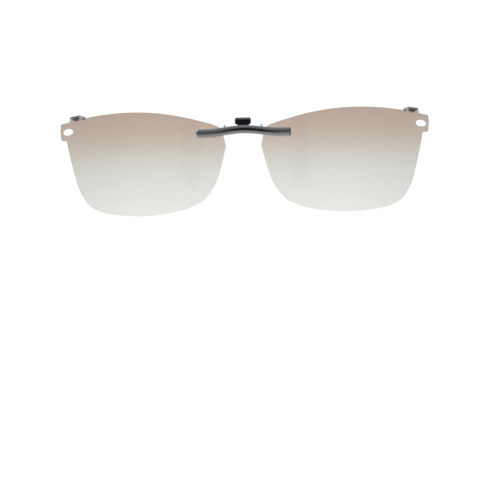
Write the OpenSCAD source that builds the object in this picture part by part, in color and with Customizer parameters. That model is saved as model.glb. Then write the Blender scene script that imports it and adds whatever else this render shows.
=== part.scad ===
// Clip-on sunglasses that hang on the front of a pair of spectacles.
// Two rimless lenses slide outwards on a spring-loaded bridge bar.
// Millimetres. +X runs to the right seen from the front, +Y backwards to the wearer, +Z up.
// The origin is the middle of the centre hook's seat, the face that rests on the frame's bridge.

/* [Lenses] */
// Thickness of each lens
lens_t = 1.2; // [1:0.1:1.5]
// Radius of the lens's front surface
lens_r = 130; // [120:5:150]
// Distance from the middle of the object to the lens's foremost point
lens_apex_x = 25.7; // [24:0.1:27]
// How far the foremost point of the lenses lies in front of the seat's middle
lens_front = 4.4; // [4.3:0.1:4.6]
// Height of the foremost point of the lenses
lens_apex_z = -10.8; // [-13:0.1:-9]
// Length of the oval hole in the lens's tab
slot_len = 4.05; // [3:0.05:4.2]
// Width of the oval hole in the lens's tab
slot_w = 2.5; // [1.8:0.1:2.6]

/* [Bridge bar] */
// Height of the bar
bar_h = 3.05; // [3.05:0.05:3.15]
// Depth of the bar, front to back
bar_d = 2.6; // [2.5:0.1:3]
// Wall of the bar's channel
bar_wall = 0.4; // [0.35:0.05:0.4]
// How far the bar's middle is arched above its ends
bar_rise = 1.25; // [1.2:0.05:1.3]
// Height of the bar's centre line in the middle
bar_z = -3.125; // [-3.15:0.005:-3.1]

/* [Pull] */
// How far each lens can be pulled outwards
travel = 3; // [1:0.5:3]
// Diameter of the guide rods
rod_d = 0.7; // [0.6:0.05:0.7]
// Gap between a guide rod and its bore, all round
rod_gap = 0.05; // [0.03:0.01:0.08]
// Outer diameter of the springs
spring_d = 1.05; // [1:0.05:1.1]
// Wire of the springs
spring_wire = 0.14; // [0.1:0.01:0.15]
// Number of turns in each spring
spring_turns = 13; // [8:1:15]

/* [Centre hook] */
// Gap of the hook, which takes the frame's bridge, front to back
hook_gap = 4.3; // [4.2:0.1:4.4]
// Depth of the hook behind the frame's bridge
hook_drop = 2; // [1.5:0.1:2.5]
// Thickness of the hook's metal strip
hook_t = 0.6; // [0.5:0.05:0.6]
// Wall of the rubber over the strip
rubber_t = 0.45; // [0.4:0.05:0.5]
// Width of the rubber over the hook
hook_w = 4.2; // [4:0.1:4.5]
// Width of the rubber's front pad
pad_w = 6.1; // [5.5:0.1:6.5]
// Height of the rubber's front pad
pad_h = 2.6; // [2.4:0.1:2.6]

/* [Claws] */
// Width of each outer claw
claw_w = 4; // [3.5:0.1:4]
// Length of the claw from the lens's front to its end
claw_len = 5.3; // [5:0.1:6]
// Thickness of the claw's strip
claw_t = 0.5; // [0.4:0.05:0.6]

/* [Hidden] */
$fn = 48;
eps = 0.01;

// Colours
lens_color = [0.45, 0.38, 0.32, 0.55];
gunmetal = [0.30, 0.31, 0.33];
steel = [0.72, 0.73, 0.75];
rubber = [0.05, 0.05, 0.06];
nylon = [0.90, 0.90, 0.86];
clear_soft = [0.85, 0.87, 0.90, 0.6];

// Lens: the right lens's outline as (x, z), from under its tab clockwise to the claw
side_points = [
  [68.6, -6.7], [67.7, -11.2], [66.6, -15.8], [65.4, -20.5], [63.9, -25.1], [60.8, -30],
  [57.3, -32.4], [52.6, -33.9], [45.8, -34.85], [39, -35.2], [31.8, -34.7], [25, -33.55],
  [20.4, -32.1], [15.6, -29.6], [11.6, -24.6], [9.8, -20.4], [8.4, -15.8], [7.25, -11.2],
  [6.8, -9], [7.5, -5.6], [8.2, -3], [9.8, -1.4], [15.3, 0.4], [24.4, 2.7], [33.6, 4.2],
  [42.9, 4.8], [52.3, 4.5], [58.5, 3.85], [63.3, 3.05]
];
// The tab at the lens's outer corner, and the radius of each of its corners
tab_points = [[67.6, 2.25], [71.3, 1.5], [71.5, -0.9], [71.2, -4.9], [68.9, -5.2]];
tab_radii = [0.5, 0.6, 3, 0.9, 0.7];
// The raised pad under the claw
claw_x = 65.45;
claw_pad_inner = 3.85;
claw_pad_outer = 3.35;
claw_pad_w = 4.15;
claw_z = (claw_pad_inner + claw_pad_outer) / 2;
claw_tilt = atan((claw_pad_inner - claw_pad_outer) / claw_pad_w);
// The oval hole's middle, and its slant
slot_x = 68.25;
slot_z = -1.67;
slot_slant = 5;

// Bar
bar_back = -lens_front;
bar_front = bar_back - bar_d;
bar_end_left = -17.8;
bar_end_right = 17.7;
arch_len = 14.5; // beyond this distance from the middle the bar is straight
plate_t = 0.45;
plate_gap = 0.03;

// Slides: the foot's extent along X, in the bar's straight zone
foot_in = 8.45;
foot_out = 13.4;
foot_low = -4.95;
foot_high = -3.47;
foot_gap = 0.2;
stud_x = [9.8, 12.5];
stud_z = -4.35;
stud_d = 1;
nut_af = 2;
nut_t = 0.6;
bush_d = 2.2;
washer_rise = 0.4; // from the lens's back to the washer's flat face, on the stud's axis
// Guide rods, which lie on one line
rod_y = bar_back - bar_d / 2 + 0.25;
rod_z = -3.68;
rod_in = 1.1;
collar_len = 0.45;
guide_in = 7.6;
guide_out = 8.4;

// Centre screw and rivets
screw_z = -3;
screw_d = 1;
screw_head_d = 1.6;
boss_d = 1.9;
rivet_x = 1.15;
rivet_z = -3.8;
rivet_d = 0.7;
strip_w = 3.2;
strip_low = -4.35;

// Bumper prongs
prong_x = 7.07;
prong_root_z = -3.9;
prong_z = -1.4;
prong_d = 0.5;
prong_up_y = bar_back + 0.55;
prong_tip_d = 0.8;
prong_end_y = -1.3;

// ---- Helpers ----

// Drop of the bar's centre line at a distance x from the middle
function arch(x) = bar_z - bar_rise * (1 - cos(180 * min(abs(x), arch_len) / arch_len)) / 2;

// Front and back of the right lens at (x, z)
function sphere_y(r, x, z) =
  lens_r - lens_front - sqrt(r * r - pow(x - lens_apex_x, 2) - pow(z - lens_apex_z, 2));
function lens_front_y(x, z) = sphere_y(lens_r, x, z);
function lens_back_y(x, z) = sphere_y(lens_r - lens_t, x, z);

// Smooth curve through points, with n steps between neighbours
function curve_point(a, b, c, d, t) =
  0.5 * (2 * b + (c - a) * t + (2 * a - 5 * b + 4 * c - d) * t * t + (3 * b - a - 3 * c + d) * t * t * t);
function curve(p, n) =
  let (last = len(p) - 1, q = concat([2 * p[0] - p[1]], p, [2 * p[last] - p[last - 1]]))
    [for (i = [0 : last - 1], k = [0 : n - 1]) curve_point(q[i], q[i + 1], q[i + 2], q[i + 3], k / n), p[last]];

// Arc that rounds the corner b between a and c
function corner(a, b, c, r, n) =
  let (
    u = (a - b) / norm(a - b),
    v = (c - b) / norm(c - b),
    half = acos(u * v) / 2,
    m = b + (u + v) / norm(u + v) * r / sin(half),
    s = b + u * r / tan(half) - m,
    e = b + v * r / tan(half) - m,
    from = atan2(s.y, s.x),
    sweep = (atan2(e.y, e.x) - from + 540) % 360 - 180
  ) [for (i = [0 : n]) m + r * [cos(from + sweep * i / n), sin(from + sweep * i / n)]];
function rounded(p, radii, n = 6) = [
  for (i = [0 : len(p) - 1])
    each radii[i] > 0
      ? corner(p[(i + len(p) - 1) % len(p)], p[i], p[(i + 1) % len(p)], radii[i], n)
      : [p[i]]
];

// Extrudes an (x, z) outline from y0 to y1
module front_extrude(y0, y1) {
  translate([0, y1, 0]) rotate([90, 0, 0]) linear_extrude(y1 - y0) children();
}

// Extrudes a (y, z) outline along X, centred
module side_extrude(w) {
  rotate([90, 0, 90]) linear_extrude(w, center = true) children();
}

// Cylinder along +Y from y0 to y1
module pin_y(d, x, z, y0, y1) {
  translate([x, y0, z]) rotate([-90, 0, 0]) cylinder(d = d, h = y1 - y0);
}

// Cylinder along +X from x0 to x1
module pin_x(d, x0, x1, y, z) {
  translate([x0, y, z]) rotate([0, 90, 0]) cylinder(d = d, h = x1 - x0);
}

module both_sides(side) {
  if (side < 0) mirror([1, 0, 0]) children();
  else children();
}

// ---- Lenses ----

module lens_outline() {
  smooth = curve(side_points, 5);
  pad = [[claw_x - claw_pad_w / 2, claw_pad_inner], [claw_x + claw_pad_w / 2, claw_pad_outer]];
  radii = concat([for (p = smooth) 0], [0.15, 0.15], tab_radii);
  polygon(rounded(concat(smooth, pad, tab_points), radii));
}

// Half-space behind the plane that touches a sphere of the lens at (x, z), moved back by gap
module behind(r, x, z, gap) {
  tilt = asin((z - lens_apex_z) / r);
  turn = asin((x - lens_apex_x) / (r * cos(tilt)));
  translate([x, sphere_y(r, x, z), z]) rotate([-tilt, 0, turn]) translate([-3, gap, -3]) cube(6);
}

module ball(r) {
  translate([lens_apex_x, lens_r - lens_front, lens_apex_z]) sphere(r = r, $fn = 360);
}

module slot_cut() {
  front_extrude(-lens_front - 1, 12) translate([slot_x, slot_z]) rotate(-slot_slant)
    polygon([for (a = [0 : 7.5 : 352.5]) [slot_len / 2 * cos(a), slot_w / 2 * sin(a)]]);
}

module lens(side) {
  color(lens_color) both_sides(side) difference() {
    intersection() {
      front_extrude(-lens_front - 1, 12) lens_outline();
      difference() {
        ball(lens_r);
        ball(lens_r - lens_t);
      }
    }
    slot_cut();
    for (x = stud_x) pin_y(stud_d + 0.1, x, stud_z, -5, 2);
  }
}

module lens_left() lens(-1);
module lens_right() lens(1);

// ---- Bridge bar ----

// Band that follows the arch, with its left end round where round_left is set
module band(half, left, right, round_left = false) {
  n = 48;
  start = round_left ? left + half : left;
  xs = [for (i = [0 : n]) start + (right - start) * i / n];
  polygon([
    for (x = xs) [x, arch(x) + half],
    for (i = [0 : n]) [xs[n - i], arch(xs[n - i]) - half],
    if (round_left) for (a = [-100 : -10 : -260]) [start + half * cos(a), arch(start) + half * sin(a)]
  ]);
}

module bridge_cover() {
  inner = bar_h / 2 - bar_wall;
  color(gunmetal) difference() {
    union() {
      difference() {
        front_extrude(bar_front, bar_back) band(bar_h / 2, bar_end_left, bar_end_right, true);
        front_extrude(bar_front + bar_wall, bar_back + 1)
          band(inner, bar_end_left + bar_wall, bar_end_right + 1, true);
      }
      pin_y(boss_d, 0, screw_z, bar_front + bar_wall / 2, bar_back - plate_t);
    }
    pin_y(screw_d, 0, screw_z, bar_front + bar_wall, bar_back);
  }
}

module end_plug() {
  z = arch(bar_end_right);
  half = bar_h / 2;
  inner = half - bar_wall - plate_gap;
  color(rubber) {
    front_extrude(bar_front, bar_back) polygon([
      [bar_end_right, z - half], [bar_end_right + 0.3, z - half + 0.1], [bar_end_right + 0.45, z - 0.7],
      [bar_end_right + 0.45, z + 0.7], [bar_end_right + 0.3, z + half - 0.1], [bar_end_right, z + half]
    ]);
    translate([bar_end_right - 0.7, bar_front + bar_wall + plate_gap, z - inner])
      cube([0.8, bar_d - bar_wall - plate_gap, 2 * inner]);
  }
}

module bridge_plate() {
  half = bar_h / 2 - bar_wall - plate_gap;
  color(steel) difference() {
    union() {
      front_extrude(bar_back - plate_t, bar_back) band(half, -guide_out, guide_out);
      for (x = [-guide_out, guide_in])
        front_extrude(bar_front + bar_wall + plate_gap, bar_back) band(half, x, x + guide_out - guide_in);
    }
    pin_x(rod_d + 2 * rod_gap, -guide_out - 1, guide_out + 1, rod_y, rod_z);
    pin_y(screw_d + 0.1, 0, screw_z, bar_back - 1, bar_back + 1);
    for (s = [-1, 1]) {
      pin_y(rivet_d, s * rivet_x, rivet_z, bar_back - 1, bar_back + 1);
      pin_y(prong_d, s * prong_x, prong_root_z, bar_back - plate_t, bar_back + 1);
    }
  }
}

module cover_screw() {
  head_y = bar_back + hook_t;
  color(steel) difference() {
    union() {
      pin_y(screw_d, 0, screw_z, bar_front + bar_wall + 0.1, head_y);
      pin_y(screw_head_d, 0, screw_z, head_y, head_y + 0.5);
    }
    translate([-1, head_y + 0.25, screw_z - 0.15]) cube([2, 1, 0.3]);
  }
}

// ---- Centre hook ----

module hook_profile() {
  back = hook_gap / 2 + rubber_t;
  polygon(rounded([
    [bar_back, strip_low], [bar_back, rubber_t + hook_t], [back + hook_t, rubber_t + hook_t],
    [back + hook_t, rubber_t - hook_drop], [back, rubber_t - hook_drop], [back, rubber_t],
    [bar_back + hook_t, rubber_t], [bar_back + hook_t, strip_low]
  ], [0, 0.8, 0.8, 0.25, 0.25, 0.25, 0.25, 0]));
}

module center_hook() {
  color(gunmetal) difference() {
    side_extrude(strip_w) hook_profile();
    pin_y(screw_d + 0.1, 0, screw_z, bar_back - 1, bar_back + 1);
    for (s = [-1, 1]) pin_y(rivet_d, s * rivet_x, rivet_z, bar_back - 1, bar_back + 1);
  }
}

module hook_rivets() {
  color(steel) for (s = [-1, 1]) {
    pin_y(rivet_d, s * rivet_x, rivet_z, bar_back - plate_t, bar_back + hook_t);
    pin_y(rivet_d + 0.4, s * rivet_x, rivet_z, bar_back + hook_t, bar_back + hook_t + 0.25);
  }
}

module hook_sleeve() {
  top = hook_t + 2 * rubber_t;
  front = bar_back - rubber_t + 0.05;
  back = hook_gap / 2 + hook_t + 2 * rubber_t;
  neck_low = arch(0) + bar_h / 2 + 0.1;
  color(rubber) difference() {
    union() {
      side_extrude(hook_w) polygon(rounded([
        [front, neck_low], [front, top], [back, top], [back, -hook_drop], [hook_gap / 2, -hook_drop],
        [hook_gap / 2, 0], [-hook_gap / 2, 0], [-hook_gap / 2, neck_low]
      ], [0, 0.5, 1, 0.6, 0.6, 0, 0, 0.5]));
      front_extrude(front, front + 1.3) polygon(rounded([
        [-pad_w / 2, top - pad_h], [-pad_w / 2, top], [pad_w / 2, top], [pad_w / 2, top - pad_h]
      ], [0.7, 0.7, 0.7, 0.7]));
    }
    side_extrude(strip_w) hook_profile();
  }
}

// ---- Bumper prongs ----

module prong(side) {
  color(steel) both_sides(side) {
    pin_y(prong_d, prong_x, prong_root_z, bar_back - plate_t, prong_up_y);
    translate([prong_x, prong_up_y, prong_root_z]) {
      sphere(d = prong_d);
      cylinder(d = prong_d, h = prong_z - prong_root_z);
    }
    translate([prong_x, prong_up_y, prong_z]) sphere(d = prong_d);
    pin_y(prong_d, prong_x, prong_z, prong_up_y, prong_end_y - 0.5);
  }
}

module prong_left() prong(-1);
module prong_right() prong(1);

module prong_tip(side) {
  color(clear_soft) both_sides(side) difference() {
    union() {
      pin_y(prong_tip_d, prong_x, prong_z, prong_up_y + prong_d / 2 + 0.05, prong_end_y);
      translate([prong_x, prong_end_y, prong_z]) sphere(d = prong_tip_d);
    }
    pin_y(prong_d, prong_x, prong_z, prong_up_y, prong_end_y - 0.5);
  }
}

module prong_tip_left() prong_tip(-1);
module prong_tip_right() prong_tip(1);

// ---- Slides, springs and lens fixings ----

module slide(side) {
  color(steel) both_sides(side) {
    translate([foot_in, bar_front + bar_wall + foot_gap, foot_low])
      cube([foot_out - foot_in, bar_d - bar_wall - foot_gap, foot_high - foot_low]);
    pin_x(rod_d, rod_in, foot_in + 0.2, rod_y, rod_z);
    for (x = stud_x)
      pin_y(stud_d, x, stud_z, bar_back - 0.2, lens_back_y(x, stud_z) + washer_rise + nut_t + 0.1);
  }
}

module slide_left() slide(-1);
module slide_right() slide(1);

module rod_collar(side) {
  color(steel) both_sides(side) difference() {
    pin_x(spring_d, rod_in, rod_in + collar_len, rod_y, rod_z);
    pin_x(rod_d, rod_in - 1, rod_in + 1, rod_y, rod_z);
  }
}

module rod_collar_left() rod_collar(-1);
module rod_collar_right() rod_collar(1);

// Helix along X: a wire of hexagonal section, swept ring by ring
module spring(side) {
  wire_r = spring_wire / 2;
  coil_r = spring_d / 2 - wire_r;
  x0 = rod_in + collar_len + wire_r + 0.01;
  x1 = guide_in - wire_r - 0.01;
  per_turn = 14;
  rings = spring_turns * per_turn;
  pts = [
    for (i = [0 : rings], k = [0 : 5])
      let (a = 360 * i / per_turn, b = 60 * k, r = coil_r + wire_r * cos(b))
        [x0 + (x1 - x0) * i / rings + wire_r * sin(b), rod_y + r * cos(a), rod_z + r * sin(a)]
  ];
  sides = [
    for (i = [0 : rings - 1], k = [0 : 5])
      [6 * i + k, 6 * i + (k + 1) % 6, 6 * i + 6 + (k + 1) % 6, 6 * i + 6 + k]
  ];
  first = [for (k = [5 : -1 : 0]) k];
  last = [for (k = [0 : 5]) 6 * rings + k];
  color(steel) both_sides(side) polyhedron(pts, concat([first], sides, [last]));
}

module spring_left() spring(-1);
module spring_right() spring(1);

module lens_bushes(side) {
  color(nylon) both_sides(side) for (x = stud_x) difference() {
    pin_y(bush_d, x, stud_z, bar_back, lens_front_y(x, stud_z) + 0.6);
    pin_y(stud_d + 0.05, x, stud_z, bar_back - 1, 0);
    behind(lens_r, x, stud_z, -eps);
  }
}

module lens_bushes_left() lens_bushes(-1);
module lens_bushes_right() lens_bushes(1);

module lens_washers(side) {
  color(nylon) both_sides(side) for (x = stud_x) difference() {
    intersection() {
      pin_y(bush_d, x, stud_z, lens_back_y(x, stud_z) - 0.6, lens_back_y(x, stud_z) + washer_rise);
      behind(lens_r - lens_t, x, stud_z, eps);
    }
    pin_y(stud_d + 0.05, x, stud_z, bar_back - 1, 0);
  }
}

module lens_washers_left() lens_washers(-1);
module lens_washers_right() lens_washers(1);

module lens_nuts(side) {
  color(steel) both_sides(side) for (x = stud_x) {
    y = lens_back_y(x, stud_z) + washer_rise;
    difference() {
      translate([x, y, stud_z]) rotate([-90, 0, 0]) cylinder(d = nut_af / cos(30), h = nut_t, $fn = 6);
      pin_y(stud_d, x, stud_z, y - 1, y + 2);
    }
  }
}

module lens_nuts_left() lens_nuts(-1);
module lens_nuts_right() lens_nuts(1);

// ---- Outer claws ----

claw_foot = 1.75; // from the lens's front to the back of the claw's foot
claw_rise = 0.9;
claw_drop = -0.3;

// Places children on the lens's top edge: X along the edge, Y straight into the frame behind
module at_claw(tilt) {
  translate([claw_x, lens_front_y(claw_x, claw_z), claw_z])
    rotate([0, 0, asin((claw_x - lens_apex_x) / lens_r)])
      rotate([0, tilt, 0]) children();
}

module claw_profile() {
  polygon(rounded([
    [-0.05, -0.8], [-0.05, claw_rise], [claw_len, claw_rise], [claw_len, claw_drop],
    [claw_len - claw_t, claw_drop], [claw_len - claw_t, claw_rise - claw_t],
    [claw_foot, claw_rise - claw_t], [claw_foot, -0.8]
  ], [0, 0.3, 0.6, 0.2, 0.2, 0.2, 0.2, 0]));
}

module claw(side) {
  foot_r = 1.65;
  color(gunmetal) both_sides(side) {
    difference() {
      at_claw(claw_tilt) side_extrude(claw_w) claw_profile();
      front_extrude(0, 16) lens_outline();
    }
    intersection() {
      at_claw(claw_tilt) pin_y(2 * foot_r, 0, foot_r - 1.1, 1, claw_foot);
      at_claw(claw_tilt) translate([-2, 0, -2]) cube([4, 4, 2.2]);
      ball(lens_r - lens_t);
    }
  }
}

module claw_left() claw(-1);
module claw_right() claw(1);

module claw_tip(side) {
  color(clear_soft) both_sides(side) at_claw(claw_tilt) difference() {
    side_extrude(claw_w + 0.4) polygon(rounded([
      [claw_len - claw_t - 0.2, claw_drop - 0.2], [claw_len - claw_t - 0.2, 0.3],
      [claw_len + 0.2, 0.3], [claw_len + 0.2, claw_drop - 0.2]
    ], [0.35, 0, 0, 0.35]));
    side_extrude(claw_w) claw_profile();
  }
}

module claw_tip_left() claw_tip(-1);
module claw_tip_right() claw_tip(1);

lens_left();
lens_right();
bridge_cover();
end_plug();
bridge_plate();
cover_screw();
center_hook();
hook_rivets();
hook_sleeve();
prong_left();
prong_right();
prong_tip_left();
prong_tip_right();
slide_left();
slide_right();
rod_collar_left();
rod_collar_right();
spring_left();
spring_right();
lens_bushes_left();
lens_bushes_right();
lens_washers_left();
lens_washers_right();
lens_nuts_left();
lens_nuts_right();
claw_left();
claw_right();
claw_tip_left();
claw_tip_right();
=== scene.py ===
# %% [markdown]
# # Clip-on sunglasses
# A clip-on hangs on the front of a pair of spectacles. Two rimless tinted lenses are screwed to slides
# inside a spring-loaded bridge bar, so that each can be pulled outwards a little. A rubber-covered hook in
# the middle rests on the frame's bridge, and a small claw on each lens's outer corner snaps over the frame
# behind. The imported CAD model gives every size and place. This lesson adds what CAD leaves plain: rounded
# and polished edges, moulded rubber, wound springs, graduated tint, and metal finishes.

import math

import bmesh
import bpy
from mathutils import Matrix, Vector


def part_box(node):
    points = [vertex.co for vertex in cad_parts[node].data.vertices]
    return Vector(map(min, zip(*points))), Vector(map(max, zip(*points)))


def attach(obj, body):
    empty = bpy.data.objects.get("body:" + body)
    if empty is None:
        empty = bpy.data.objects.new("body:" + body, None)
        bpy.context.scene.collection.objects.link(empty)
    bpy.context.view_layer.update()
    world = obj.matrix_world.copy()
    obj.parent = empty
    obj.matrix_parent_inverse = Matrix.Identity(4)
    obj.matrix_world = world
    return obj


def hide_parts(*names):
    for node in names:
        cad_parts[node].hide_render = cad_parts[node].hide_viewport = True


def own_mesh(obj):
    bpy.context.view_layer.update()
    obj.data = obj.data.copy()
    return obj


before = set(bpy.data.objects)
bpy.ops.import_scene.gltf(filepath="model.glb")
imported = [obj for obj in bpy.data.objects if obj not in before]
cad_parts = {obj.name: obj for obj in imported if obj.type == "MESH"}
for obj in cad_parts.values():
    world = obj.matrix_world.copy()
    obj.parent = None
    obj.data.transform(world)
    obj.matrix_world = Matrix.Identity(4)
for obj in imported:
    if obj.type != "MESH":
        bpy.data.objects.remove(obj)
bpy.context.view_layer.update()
MM = 0.001

# %% [markdown]
# ## How the shapes are made
# Every new piece is worked out in millimetres in a bmesh, then brought to metres once, when it is finished.
# That keeps the numbers as readable as on a drawing. A piece rides on a CAD body, takes the finish it is
# given, and may stand for a CAD node, which is then hidden.


# %% Finish a piece
def sharpen(mesh, degrees):
    """Smooth shading, apart from edges that turn more than this."""
    mesh.polygons.foreach_set("use_smooth", [True] * len(mesh.polygons))
    mesh.set_sharp_from_angle(angle=math.radians(degrees))


def finish_piece(name, bm, body, material, replaces=(), sharp=35):
    """Turns a bmesh in millimetres into a finished object in metres."""
    bmesh.ops.transform(bm, matrix=Matrix.Scale(MM, 4), verts=bm.verts)
    mesh = bpy.data.meshes.new(name)
    bm.to_mesh(mesh)
    bm.free()
    sharpen(mesh, sharp)
    mesh.materials.append(material)
    piece = bpy.data.objects.new(name, mesh)
    bpy.context.scene.collection.objects.link(piece)
    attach(piece, body)
    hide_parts(*replaces)
    print(f"{name}: {len(mesh.polygons)} faces on {body}")
    return piece


def cad_copy(node):
    """A merged copy of a CAD node, in millimetres. The node itself is left alone."""
    bm = bmesh.new()
    bm.from_mesh(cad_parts[node].data)
    bmesh.ops.transform(bm, matrix=Matrix.Scale(1 / MM, 4), verts=bm.verts)
    bmesh.ops.remove_doubles(bm, verts=bm.verts, dist=0.001)
    return bm


def box_mm(node):
    """Lowest and highest corner of a CAD node, in millimetres."""
    low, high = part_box(node)
    return low / MM, high / MM


def cut(bm, position, normal):
    """Slices all faces with a plane, and keeps both sides."""
    everything = bm.verts[:] + bm.edges[:] + bm.faces[:]
    bmesh.ops.bisect_plane(bm, geom=everything, plane_co=position, plane_no=normal, dist=0.001)


def steps(start, end, size):
    """Evenly spaced numbers between start and end, without either."""
    count = max(1, round((end - start) / size))
    return [start + (end - start) * i / count for i in range(1, count)]


# %% [markdown]
# ## How the finishes are made
# A finish is a small sum of noises, streaks and masks. Written as Python expressions, such a sum reads like
# a formula. The class below wraps a socket: adding or multiplying two of them adds the Math node that does
# it. Its one other method adds any node by type, with its settings first and its sockets after them.


# %% A socket that can be calculated with
class Wire:
    def __init__(self, socket):
        self.socket = socket

    def node(self, kind, settings=None, sockets=None, out=0):
        """Adds a node to the same material, and gives its output."""
        tree = self.socket.id_data
        added = tree.nodes.new(kind)
        for key, value in (settings or {}).items():
            if key == "stops":
                ramp = added.color_ramp
                while len(ramp.elements) < len(value):
                    ramp.elements.new(0.5)
                for element, (place, colour) in zip(ramp.elements, value):
                    element.position, element.color = place, (*colour, 1)
            else:
                setattr(added, key, value)
        for key, value in (sockets or {}).items():
            if isinstance(value, Wire):
                tree.links.new(value.socket, added.inputs[key])
            else:
                added.inputs[key].default_value = value
        return Wire(added.outputs[out])

    def math(self, operation, first, second=0.0):
        return self.node("ShaderNodeMath", {"operation": operation}, {0: first, 1: second})

    def __add__(self, other):
        return self.math("ADD", self, other)

    def __sub__(self, other):
        return self.math("SUBTRACT", self, other)

    def __rsub__(self, other):
        return self.math("SUBTRACT", other, self)

    def __mul__(self, other):
        return self.math("MULTIPLY", self, other)

    __radd__ = __add__
    __rmul__ = __mul__


# %% Start a material, and the parts that most finishes share
def linear(red, green, blue):
    """A colour as named on a screen, 0 to 255, in the renderer's linear light."""
    return tuple(
        (c / 255 / 12.92) if c <= 10 else ((c / 255 + 0.055) / 1.055) ** 2.4 for c in (red, green, blue)
    )


def new_material(name, base, **uniform):
    """A Principled material. Values that are the same all over go straight on its sockets."""
    material = bpy.data.materials.new(name)
    material.use_nodes = True
    shader = material.node_tree.nodes["Principled BSDF"]
    shader.inputs["Base Color"].default_value = (*base, 1)
    for key, value in uniform.items():
        shader.inputs[key.replace("_", " ")].default_value = value
    coords = material.node_tree.nodes.new("ShaderNodeTexCoord").outputs["Object"]
    return material, shader, Wire(coords)


def feed(shader, **sockets):
    """Connects calculated values to the shader's sockets."""
    for key, wire in sockets.items():
        shader.id_data.links.new(wire.socket, shader.inputs[key.replace("_", " ")])


def noise(coords, scale, detail=3.0, roughness=0.55):
    """Noise from 0 to 1. Scale is in waves per metre along X, Y and Z."""
    placed = coords.node("ShaderNodeMapping", sockets={"Vector": coords, "Scale": scale})
    return placed.node(
        "ShaderNodeTexNoise",
        sockets={"Vector": placed, "Scale": 1.0, "Detail": detail, "Roughness": roughness},
    )


def between(value, low, high, to_low=0.0, to_high=1.0):
    """Moves a value from one range to another, and stops at the ends."""
    return value.node(
        "ShaderNodeMapRange",
        sockets={"Value": value, "From Min": low, "From Max": high, "To Min": to_low, "To Max": to_high},
    )


def mix(mask, first, second):
    """A colour between two, by a mask from 0 to 1."""
    first, second = ((*c, 1) if isinstance(c, tuple) else c for c in (first, second))
    return mask.node("ShaderNodeMix", {"data_type": "RGBA"}, {0: mask, 6: first, 7: second}, out=2)


def bump(shader, height, distance):
    """Turns a height from 0 to 1 into a small relief, with the distance in metres."""
    feed(shader, Normal=height.node("ShaderNodeBump", sockets={"Height": height, "Distance": distance}))


def edge_wear(coords):
    """1 on convex edges, where a finish rubs off first, and 0 elsewhere."""
    return between(coords.node("ShaderNodeNewGeometry", out="Pointiness"), 0.52, 0.6)


# %% [markdown]
# ## Lens tint
# Sun lenses for driving and town are dipped so that the brown tint is strongest at the brow and fades to
# almost clear grey at the cheek. The dye sits in the plastic, so the colour follows the height on the lens,
# not the light. A ramp on the object's Z gives the fade, and its colours were chosen by comparing renders.
# Clear plastic of index 1.5 bends light and shines at its edges. Faint smears and a little dust break up
# the gloss.

# %% Graduated brown lens
TINT = [  # height in millimetres, and the colour that white light keeps
    (-34, (223, 225, 221)),
    (-25, (217, 218, 213)),
    (-19, (212, 213, 206)),
    (-13.5, (206, 203, 193)),
    (-7.5, (195, 185, 173)),
    (-2, (187, 171, 158)),
    (5, (179, 162, 149)),
]
tint_low, tint_high = TINT[0][0], TINT[-1][0]


def lens_material():
    material, shader, coords = new_material(
        "graduated_brown_lens", (0.6, 0.5, 0.45), Transmission_Weight=1.0, IOR=1.5, Roughness=0.015
    )
    height = coords.node("ShaderNodeSeparateXYZ", sockets={"Vector": coords}, out="Z")
    place = between(height, tint_low * MM, tint_high * MM)
    stops = [((z - tint_low) / (tint_high - tint_low), linear(*colour)) for z, colour in TINT]
    tint = place.node("ShaderNodeValToRGB", {"stops": stops}, {"Fac": place})
    # Between 40 and 70 mm out from the middle, the tint is mixed up to 14 % towards a darker brown.
    sideways = coords.node("ShaderNodeSeparateXYZ", sockets={"Vector": coords}, out="X")
    toward_outer_ends = between(sideways.math("ABSOLUTE", sideways), 0.04, 0.07)
    tint = mix(toward_outer_ends * 0.14, tint, linear(120, 108, 98))
    dust = between(noise(coords, (2600, 2600, 2600), 2.0), 0.78, 0.84)
    feed(shader, Base_Color=mix(dust * 0.35, tint, linear(120, 112, 105)))
    smears = noise(coords, (60, 60, 25), 4.0, 0.6)
    feed(shader, Roughness=between(smears, 0.35, 0.75, 0.0, 0.035))
    return material


tinted = lens_material()
print("lens tint stops:", len(TINT))

# %% [markdown]
# ## Gunmetal
# The bar, the hook's strip and the claws are steel with a dark electroplated skin. It is smooth enough to
# mirror the room in soft bands. Fine polishing lines run along the bar, and the skin is a little thinner,
# so lighter, on edges that fingers and cases rub. Long thin noise gives the lines, and the mesh's own
# pointiness finds the edges.


# %% Dark plated steel
def gunmetal_material(name, painted_light_from):
    """Behind this depth in millimetres the colour is painted pale pinkish grey and the finish is rougher:
    painted light on a claw's foot behind the lens.
    """
    material, shader, coords = new_material(name, linear(116, 119, 121), Metallic=1.0)
    lines = noise(coords, (150, 5200, 5200), 3.0)
    clouds = noise(coords, (420, 420, 420), 4.0)
    wear = edge_wear(coords) * between(clouds, 0.4, 0.6)
    depth = coords.node("ShaderNodeSeparateXYZ", sockets={"Vector": coords}, out="Y")
    # Painted light: behind this depth the plate colour turns pale pinkish grey, in place of the light that
    # reaches a claw's foot behind the lens.
    painted_light_behind = between(depth, painted_light_from * MM, (painted_light_from + 0.3) * MM)
    skin = mix(painted_light_behind, mix(clouds, linear(111, 114, 116), linear(120, 123, 125)), linear(194, 186, 185))
    feed(shader, Base_Color=mix(wear * 0.5, skin, linear(150, 152, 153)))
    feed(shader, Roughness=between(lines, 0.3, 0.7, 0.1, 0.17) + wear * 0.06 + painted_light_behind * 0.25)
    bump(shader, lines, 0.0000015)
    return material


BEHIND_ALL = 9  # millimetres, deeper than any piece reaches
gunmetal = gunmetal_material("gunmetal_plate", BEHIND_ALL)
# Claws: the part behind 3.1 mm gets painted light.
gunmetal_with_painted_light = gunmetal_material("gunmetal_painted_light", 3.1)
print("gunmetal:", gunmetal.name, gunmetal_with_painted_light.name)

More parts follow.
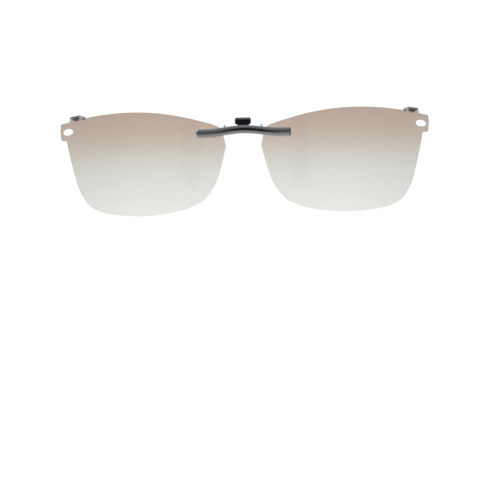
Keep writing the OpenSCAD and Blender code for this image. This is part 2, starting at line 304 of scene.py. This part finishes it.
# %% [markdown]
# ## Bright steel and spring steel
# Screw, nuts, slides and the inner plate are plain stainless steel. Small turned and stamped parts carry
# fine tool marks and a mottled dullness. The springs are of drawn wire with a faint straw tone left by the
# heat treatment.


# %% Plain steels
def steel_material(name, colour, straw, mark_scale):
    material, shader, coords = new_material(name, linear(*colour), Metallic=1.0)
    marks = noise(coords, mark_scale, 4.0)
    mottle = noise(coords, (700, 700, 700), 3.0)
    feed(shader, Base_Color=mix(between(mottle, 0.35, 0.7), linear(*colour), linear(*straw)))
    feed(shader, Roughness=between(marks, 0.3, 0.7, 0.2, 0.36))
    bump(shader, marks, 0.000004)
    return material


steel = steel_material("satin_steel", (196, 197, 199), (178, 178, 178), (900, 4200, 900))
spring_steel = steel_material("spring_wire", (176, 172, 164), (158, 148, 132), (3000, 3000, 3000))
print("steels:", steel.name, spring_steel.name)

# %% [markdown]
# ## Rubber, plastics and silicone
# The hook wears black moulded rubber: nearly black, with a fine grain from the mould and a little pale dust
# in the grain. The bar's end plug is hard dark plastic. The bushes and washers that hold the lenses are
# milky nylon, and the tips of the claws and prongs are clear soft silicone, which lets light through.


# %% Moulded black rubber and dark plastic
def black_material(name, colour, grey, roughness, grain, painted_highlight_at):
    """A pale painted highlight, for the light mirrored in the rounded upper front edge, lies at this depth
    and height, in millimetres.
    """
    material, shader, coords = new_material(name, linear(*colour), Specular_IOR_Level=0.14)
    fine = noise(coords, (grain, grain, grain), 3.0)
    dust = between(noise(coords, (5200, 5200, 5200), 2.0), 0.62, 0.74) * between(fine, 0.5, 0.7)
    depth = coords.node("ShaderNodeSeparateXYZ", sockets={"Vector": coords}, out="Y")
    height = coords.node("ShaderNodeSeparateXYZ", sockets={"Vector": coords}, out="Z")
    front, top = painted_highlight_at
    # Painted highlight: the last millimetre below the top, in front of the given depth, is mixed to pale
    # grey.
    near_top = between(height, (top - 1) * MM, top * MM)
    near_front = between(depth, front * MM, (front + 1.2) * MM, 1.0, 0.0)
    painted_highlight = near_top * near_front
    pale = linear(100, 108, 112)
    grained = mix(fine, linear(*colour), linear(*grey))
    feed(shader, Base_Color=mix(painted_highlight, mix(dust * 0.4, grained, pale), pale))
    feed(shader, Roughness=between(fine, 0.3, 0.7, roughness - 0.06, roughness + 0.08))
    bump(shader, fine, 0.00001)
    return material


sleeve_low, sleeve_high = box_mm("hook_sleeve")
# The painted highlight sits on the pad's top front edge.
PAD_EDGE = (sleeve_low.y + 0.3, sleeve_high.z)
NO_PAINTED_HIGHLIGHT = (9, 9)  # millimetres, above and behind the part
rubber = black_material("moulded_rubber", (2, 2, 5), (6, 7, 11), 0.3, 2600, PAD_EDGE)
dark_plastic = black_material("hard_dark_plastic", (34, 35, 38), (48, 49, 52), 0.32, 1800, NO_PAINTED_HIGHLIGHT)


# %% Milky nylon and clear silicone
def pale_material(name, colour, shade, transmission, roughness):
    material, shader, coords = new_material(
        name, linear(*colour), Transmission_Weight=transmission, IOR=1.42, Roughness=roughness
    )
    cloud = noise(coords, (1500, 1500, 1500), 3.0)
    feed(shader, Base_Color=mix(cloud, linear(*colour), linear(*shade)))
    feed(shader, Roughness=between(cloud, 0.3, 0.7, roughness - 0.03, roughness + 0.03))
    return material


nylon = pale_material("milky_nylon", (232, 231, 222), (216, 214, 203), 0.15, 0.42)
silicone = pale_material("soft_clear_silicone", (222, 228, 236), (206, 214, 224), 0.9, 0.11)
print("soft finishes:", rubber.name, dark_plastic.name, nylon.name, silicone.name)

# %% [markdown]
# ## Lenses
# A rimless lens is cut from a curved blank, and its rim is ground flat, then polished with a small safety
# bevel all round, also inside the oval hole and the screw holes. The lens is made flat first, because flat
# shapes are easy to work on: the outline and its holes come from the CAD solid, the sheet between them is
# filled, inset for the bevel and sliced on a fine grid. Then it is given its thickness, and each point is
# moved onto the sphere of its face.


# %% A flat blank with its holes
def flat_blank(node, radius, centre, inset, grid):
    """The front face of a CAD lens, laid flat, with an inset all round and an even grid."""
    bm = cad_copy(node)
    off = {v for v in bm.verts if abs((v.co - centre).length - radius) > 0.3}
    bmesh.ops.delete(bm, geom=list(off), context="VERTS")
    inner = [e for e in bm.edges if not e.is_boundary]
    bmesh.ops.delete(bm, geom=inner, context="EDGES_FACES")
    bmesh.ops.delete(bm, geom=[v for v in bm.verts if not v.link_edges], context="VERTS")
    bmesh.ops.scale(bm, verts=bm.verts, vec=(1, 0, 1))
    bmesh.ops.triangle_fill(bm, edges=bm.edges, use_beauty=True, use_dissolve=False, normal=(0, -1, 0))
    turned = [f for f in bm.faces if f.normal.y > 0]
    bmesh.ops.reverse_faces(bm, faces=turned)
    bmesh.ops.inset_region(bm, faces=bm.faces, thickness=inset, use_boundary=True, use_even_offset=True)
    low, high = box_mm(node)
    for x in steps(low.x, high.x, grid):
        cut(bm, (x, 0, 0), (1, 0, 0))
    for z in steps(low.z, high.z, grid):
        cut(bm, (0, 0, z), (0, 0, 1))
    return bm


# %% Thickness, curves and polished rim
FRONT_RADIUS, BACK_RADIUS = 130.0, 128.8
LENS_CENTRE = Vector((25.7, 125.6, -10.8))
GRID = 2.4
POLISH = 0.12


def depth_on(centre, radius, v):
    """Where a line straight through the lens at this point meets the sphere."""
    return centre.y - math.sqrt(radius**2 - (v.co.x - centre.x) ** 2 - (v.co.z - centre.z) ** 2)


def make_lens(side):
    centre = LENS_CENTRE.copy()
    centre.x *= -1 if side == "left" else 1
    bm = flat_blank(f"lens_{side}", FRONT_RADIUS, centre, POLISH, GRID)
    rim = bm.verts.layers.int.new("rim")
    for v in bm.verts:
        v[rim] = v.is_boundary
    made = bmesh.ops.extrude_face_region(bm, geom=bm.faces[:], use_keep_orig=True)
    back = {g for g in made["geom"] if isinstance(g, bmesh.types.BMVert)}
    for v in bm.verts:
        inward = POLISH * v[rim]
        if v in back:
            v.co.y = depth_on(centre, BACK_RADIUS, v) - inward
        else:
            v.co.y = depth_on(centre, FRONT_RADIUS, v) + inward
    bmesh.ops.recalc_face_normals(bm, faces=bm.faces)
    return finish_piece(f"glass_{side}", bm, f"{side}_lens", tinted, [f"lens_{side}"], 20)


for side in ("left", "right"):
    make_lens(side)

# %% [markdown]
# ## Bridge bar
# The bar is pressed from thin steel sheet: a shallow open channel with a full-round left end, bent to an
# arch that clears the frame's bridge. Its front is crowned, so that it mirrors the light above and below in
# two bright bands with a dark one between. The shape starts as a plain block. Its ends and front edges are
# bevelled, its back is inset and pushed in for the channel, and then it is cut into short lengths and bent
# by moving its points. The push reaches the skin of the round end, so the wall there is left without
# thickness.

# %% Bar cover
ARCH_TOP, ARCH_RISE, ARCH_LENGTH = -3.125, 1.25, 14.5
bar_low, bar_high = box_mm("bridge_cover")
BAR_BACK, BAR_FRONT = bar_high.y, bar_low.y
BAR_HALF = 1.525
WALL = 0.4
FRONT_ROUND = 0.95
PLAN_BOW = 0.25
CROWN = 0.3


def arch(x):
    """Height of the bar's centre line at x."""
    reach = min(abs(x), ARCH_LENGTH) / ARCH_LENGTH
    return ARCH_TOP - ARCH_RISE * (1 - math.cos(math.pi * reach)) / 2


def block(low, high):
    """A plain block between two corners."""
    bm = bmesh.new()
    low, high = Vector(low), Vector(high)
    placed = Matrix.Translation((low + high) / 2) @ Matrix.Diagonal((*(high - low), 1))
    bmesh.ops.create_cube(bm, size=1, matrix=placed)
    return bm


def bevel(bm, edges, offset, segments):
    bmesh.ops.bevel(
        bm, geom=list(edges), offset=offset, segments=segments, profile=0.5, affect="EDGES", material=-1,
        clamp_overlap=True,
    )


def bend_bar(v):
    """Bows and crowns the front, and the channel floor half as much, and bends the point to the arch."""
    depth = ((BAR_BACK - v.co.y) / (BAR_BACK - BAR_FRONT)) ** 4
    along = v.co.x / bar_high.x
    across = v.co.z / BAR_HALF
    v.co.y += depth * (PLAN_BOW * along**2 + CROWN * across**2)
    v.co.z += arch(v.co.x)


def make_bar():
    spare = 2
    bm = block((bar_low.x, BAR_FRONT, -BAR_HALF), (bar_high.x + spare, BAR_BACK, BAR_HALF))
    left_edges = [e for e in bm.edges if all(v.co.x < 0 for v in e.verts)]
    ends = [e for e in left_edges if abs(e.verts[0].co.y - e.verts[1].co.y) > 1]
    bevel(bm, ends, BAR_HALF - 0.01, 8)
    front = {f for f in bm.faces if f.normal.y < -0.9}
    bevel(bm, {e for f in front for e in f.edges}, FRONT_ROUND, 6)
    bm.normal_update()
    back = [f for f in bm.faces if f.normal.y > 0.9]
    bmesh.ops.inset_region(bm, faces=back, thickness=WALL, use_boundary=True, use_even_offset=True)
    inside = BAR_HALF - WALL / 2
    back = [f for f in bm.faces if f.normal.y > 0.9 and all(abs(v.co.z) < inside for v in f.verts)]
    pushed = bmesh.ops.extrude_face_region(bm, geom=back)
    bmesh.ops.delete(bm, geom=back, context="FACES")
    verts = [g for g in pushed["geom"] if isinstance(g, bmesh.types.BMVert)]
    bmesh.ops.translate(bm, verts=verts, vec=(0, -(BAR_BACK - BAR_FRONT - WALL), 0))
    everything = bm.verts[:] + bm.edges[:] + bm.faces[:]
    bmesh.ops.bisect_plane(
        bm, geom=everything, plane_co=(bar_high.x, 0, 0), plane_no=(1, 0, 0), clear_outer=True, dist=0.001
    )
    open_edges = [e for e in bm.edges if e.is_boundary]
    bmesh.ops.contextual_create(bm, geom=open_edges)
    for x in steps(bar_low.x, bar_high.x, 0.6):
        cut(bm, (x, 0, 0), (1, 0, 0))
    for z in steps(-1, 1, 0.25):
        cut(bm, (0, 0, z), (0, 0, 1))
    for v in bm.verts:
        bend_bar(v)
    bmesh.ops.recalc_face_normals(bm, faces=bm.faces)
    return finish_piece("bar_shell", bm, "bridge", gunmetal, ["bridge_cover"], 40)


make_bar()

# %% [markdown]
# ## Rubber on the hook
# A moulded sleeve covers the metal hook so that it grips without scratching. In front it ends in a wide pad
# that a fingertip can find. The mould leaves a shallow sunk panel on the pad and soft rounded edges
# everywhere. A merged copy of the CAD sleeve keeps its true fit on the metal; its pad gets the panel, and a
# bevel rounds the rest.


# %% Sleeve with its front pad
def soften(piece, width, segments, degrees=32):
    """A live bevel rounds every edge that turns more than this."""
    rounder = piece.modifiers.new("rounded edges", "BEVEL")
    rounder.width, rounder.segments, rounder.profile = width * MM, segments, 0.5
    rounder.limit_method, rounder.angle_limit = "ANGLE", math.radians(degrees)
    rounder.harden_normals = False
    return piece


def flatten_copy(node):
    """A CAD copy whose flat faces are whole again."""
    bm = cad_copy(node)
    bmesh.ops.dissolve_limit(bm, angle_limit=math.radians(1), verts=bm.verts, edges=bm.edges)
    bm.normal_update()
    return bm


PANEL_MARGIN, PANEL_SLOPE, PANEL_DEPTH = 0.42, 0.12, 0.14


def make_sleeve():
    bm = flatten_copy("hook_sleeve")
    pad = max((f for f in bm.faces if f.normal.y < -0.99), key=lambda f: f.calc_area())
    for margin, depth in ((PANEL_MARGIN, 0), (PANEL_SLOPE, -PANEL_DEPTH)):
        bmesh.ops.inset_region(
            bm, faces=[pad], thickness=margin, depth=depth, use_boundary=True, use_even_offset=True
        )
    piece = finish_piece("rubber_sleeve", bm, "bridge", rubber, ["hook_sleeve"], 40)
    return soften(piece, 0.14, 3)


make_sleeve()

# %% [markdown]
# ## Small metal parts
# Hook strip, inner plate, rivets, screw, slides, nuts and claws are stamped, turned or drawn. None of them
# has a razor edge: tumbling in the polishing drum rounds them by a tenth of a millimetre. The CAD shapes
# are right, so each is copied, its flat faces are made whole, and a narrow bevel is put on its edges.

# %% Rounded copies of the metal parts
METAL_PARTS = {  # CAD node: piece, body, slot, material, rounding in millimetres
    "center_hook": ("hook_strip", "bridge", "gunmetal", gunmetal, 0.08),
    "bridge_plate": ("inner_plate", "bridge", "steel", steel, 0.05),
    "hook_rivets": ("rivet_heads", "bridge", "steel", steel, 0.08),
    "cover_screw": ("slotted_screw", "bridge", "steel", steel, 0.06),
    "end_plug": ("end_cap", "bridge", "dark_plastic", dark_plastic, 0.1),
}
for side in ("left", "right"):
    body = f"{side}_lens"
    METAL_PARTS[f"claw_{side}"] = (f"corner_claw_{side}", body, "gunmetal", gunmetal_with_painted_light, 0.1)
    METAL_PARTS[f"claw_tip_{side}"] = (f"claw_cap_{side}", body, "clear_silicone", silicone, 0.1)
    METAL_PARTS[f"slide_{side}"] = (f"slider_{side}", body, "steel", steel, 0.06)
    METAL_PARTS[f"rod_collar_{side}"] = (f"stop_collar_{side}", body, "steel", steel, 0.05)
    METAL_PARTS[f"lens_nuts_{side}"] = (f"hex_nuts_{side}", body, "steel", steel, 0.07)
    METAL_PARTS[f"lens_washers_{side}"] = (f"washers_{side}", body, "nylon", nylon, 0.05)
    METAL_PARTS[f"lens_bushes_{side}"] = (f"bushes_{side}", body, "nylon", nylon, 0.05)

for node, (name, body, slot, material, rounding) in METAL_PARTS.items():
    soften(finish_piece(name, flatten_copy(node), body, material, [node], 30), rounding, 3)

# %% [markdown]
# ## Bumper prongs
# Two thin wires rise behind the bar and end in soft tips, which keep the lenses off the spectacle lenses
# behind. The CAD wire is already a smooth tube, so only the material is new. It is a carried-over CAD node:
# its material slot is filled, and nothing else is touched.


# %% Materials on the carried-over nodes
def dress(node, material):
    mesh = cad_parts[node].data
    if mesh.materials:
        mesh.materials[0] = material
    else:
        mesh.materials.append(material)
    print(f"{node}: {material.name}")


for side in ("left", "right"):
    dress(f"prong_{side}", steel)
    dress(f"prong_tip_{side}", silicone)

# %% [markdown]
# ## Springs
# A compression spring sits on each guide rod between the rod's collar and the plate's wall, and pulls its
# lens back inwards. The wire is a small circle swept along a helix: the spin operator does this when it
# also moves a little along the axis at every step. When a lens is pulled out, the real spring is squeezed
# towards the wall; here each coil keeps the length of its CAD spring.

# %% Wound springs
TURNS = 13
STEPS_PER_TURN = 20


def make_spring(side):
    low, high = box_mm(f"spring_{side}")
    middle = (low + high) / 2
    wire = 0.07
    coil = (high.z - low.z) / 2 - wire
    length = high.x - low.x - 2 * wire
    bm = bmesh.new()
    start = Matrix.Translation((low.x + wire, middle.y, middle.z + coil))
    upright = start @ Matrix.Rotation(math.pi / 2, 4, "X")
    bmesh.ops.create_circle(bm, segments=8, radius=wire, matrix=upright, cap_ends=False)
    bmesh.ops.spin(
        bm, geom=bm.verts[:] + bm.edges[:], cent=(0, middle.y, middle.z), axis=(1, 0, 0),
        dvec=(length / (TURNS * STEPS_PER_TURN), 0, 0), angle=math.tau * TURNS, steps=TURNS * STEPS_PER_TURN,
    )
    first_end = [e for e in bm.edges if e.is_boundary and e.verts[0].co.x < middle.x]
    bmesh.ops.contextual_create(bm, geom=first_end)
    bmesh.ops.contextual_create(bm, geom=[e for e in bm.edges if e.is_boundary])
    bmesh.ops.recalc_face_normals(bm, faces=bm.faces)
    piece = finish_piece(
        f"coil_{side}", bm, "bridge", spring_steel, [f"spring_{side}"], 60
    )
    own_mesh(piece)
    return piece


for side in ("left", "right"):
    make_spring(side)

# %% [markdown]
# ## Room and light
# The object hangs in a bright white sweep, as in a catalogue: everything behind it is a little brighter
# than the renderer's white. Polished metal only shows what surrounds it. So the room is white all round,
# with a soft grey wall just behind the camera and a narrow dark figure before that wall. Both are seen in
# the reflections alone.


# %% Sweep, sky and card
def flat_sheet(name, low, high, material):
    """A rectangle between two corners, for the room."""
    low, high = Vector(low), Vector(high)
    bm = bmesh.new()
    size = high - low
    bmesh.ops.create_grid(bm, x_segments=1, y_segments=1, size=0.5)
    if size.z > size.y:
        bmesh.ops.rotate(bm, verts=bm.verts, matrix=Matrix.Rotation(math.pi / 2, 3, "X"))
        bmesh.ops.scale(bm, verts=bm.verts, vec=(size.x, 1, size.z))
    else:
        bmesh.ops.scale(bm, verts=bm.verts, vec=(size.x, size.y, 1))
    bmesh.ops.translate(bm, verts=bm.verts, vec=(low + high) / 2)
    mesh = bpy.data.meshes.new(name)
    bm.to_mesh(mesh)
    bm.free()
    mesh.materials.append(material)
    sheet = bpy.data.objects.new(name, mesh)
    bpy.context.scene.collection.objects.link(sheet)
    return sheet


FLOOR = -0.36
paper, paper_shader, paper_coords = new_material("white_paper", (0.9, 0.9, 0.9), Roughness=0.8)
paper_shader.inputs["Emission Color"].default_value = (1, 1, 1, 1)
paper_shader.inputs["Emission Strength"].default_value = 0.25
fibre = noise(paper_coords, (220, 220, 220), 4.0)
feed(paper_shader, Base_Color=mix(fibre, (0.9, 0.9, 0.9), (0.93, 0.93, 0.93)))
flat_sheet("floor", (-6, -6, FLOOR), (6, 6, FLOOR), paper)
print("floor at", FLOOR, "m")


# %% Grey wall and dark figure in front, seen only in reflections
def reflected_card(name, low, high, tone, solid):
    """An evenly lit card whose edges fade out, so that its mirror image is soft."""
    material, shader, coords = new_material(name, (0, 0, 0), Specular_IOR_Level=0.0)
    shader.inputs["Emission Color"].default_value = (tone, tone, tone, 1)
    shader.inputs["Emission Strength"].default_value = 1.0
    middle, size = (Vector(low) + Vector(high)) / 2, Vector(high) - Vector(low)
    scale = Vector((2 / size.x, 0, 2 / size.z))
    flat = coords.node(
        "ShaderNodeMapping",
        sockets={"Vector": coords, "Location": (-middle.x * scale.x, 0, -middle.z * scale.z), "Scale": scale},
    )
    reach = flat.node("ShaderNodeVectorMath", {"operation": "LENGTH"}, {0: flat}, out="Value")
    feed(shader, Alpha=between(reach, solid, 1.0, 1.0, 0.0))
    card = flat_sheet(name, low, high, material)
    card.visible_camera = card.visible_transmission = card.visible_shadow = card.visible_diffuse = False
    return card


reflected_card("grey_wall", (-1.3, -0.6, -0.26), (1.3, -0.6, 0.5), 0.42, 0.3)
reflected_card("dark_figure", (-0.06, -0.56, -0.14), (0.035, -0.56, 0.24), 0.005, 0.7)

world = bpy.data.worlds.new("white_room")
bpy.context.scene.world = world
world.use_nodes = True
background = world.node_tree.nodes["Background"]
background.inputs["Color"].default_value = (1, 1, 1, 1)
background.inputs["Strength"].default_value = 1.06
print("room: floor, grey wall, dark figure and a white world")


# %% Soft lamps
def soft_lamp(name, place, aim, size, power):
    data = bpy.data.lights.new(name, "AREA")
    data.shape, data.size, data.energy = "DISK", size, power
    lamp = bpy.data.objects.new(name, data)
    lamp.location = place
    lamp.rotation_euler = (Vector(aim) - Vector(place)).to_track_quat("-Z", "Y").to_euler()
    bpy.context.scene.collection.objects.link(lamp)


soft_lamp("key", (-0.5, -0.5, 0.7), (0, 0, 0), 0.35, 2)
soft_lamp("fill", (0.7, -0.35, 0.35), (0, 0, 0), 0.4, 1)
print("lamps: key and fill")

# %% [markdown]
# ## Camera
# The camera stands half a metre in front, 49 mm below the part's zero height and a little to the right. The
# object hangs slightly turned and tilted before it, so the camera is turned and rolled by the same small
# angles.

# %% Camera
CAMERA_PLACE = Vector((18.09, -504.03, -49.41)) * MM
YAW, ROLL = math.radians(1.892), math.radians(1.326)
cos_yaw, sin_yaw, cos_roll, sin_roll = math.cos(YAW), math.sin(YAW), math.cos(ROLL), math.sin(ROLL)
right = (cos_yaw * cos_roll, sin_yaw, -cos_yaw * sin_roll)
upward = (sin_roll, 0, cos_roll)
backward = (sin_yaw * cos_roll, -cos_yaw, -sin_yaw * sin_roll)
camera_data = bpy.data.cameras.new("camera")
camera_data.lens, camera_data.sensor_width = 94.49, 36
camera = bpy.data.objects.new("camera", camera_data)
turned = Matrix((right, upward, backward)).transposed().to_4x4()
camera.matrix_world = Matrix.Translation(CAMERA_PLACE) @ turned
bpy.context.scene.collection.objects.link(camera)
bpy.context.scene.camera = camera
bpy.context.scene.view_settings.view_transform = "Standard"
print("camera at", [round(c, 3) for c in camera.location])
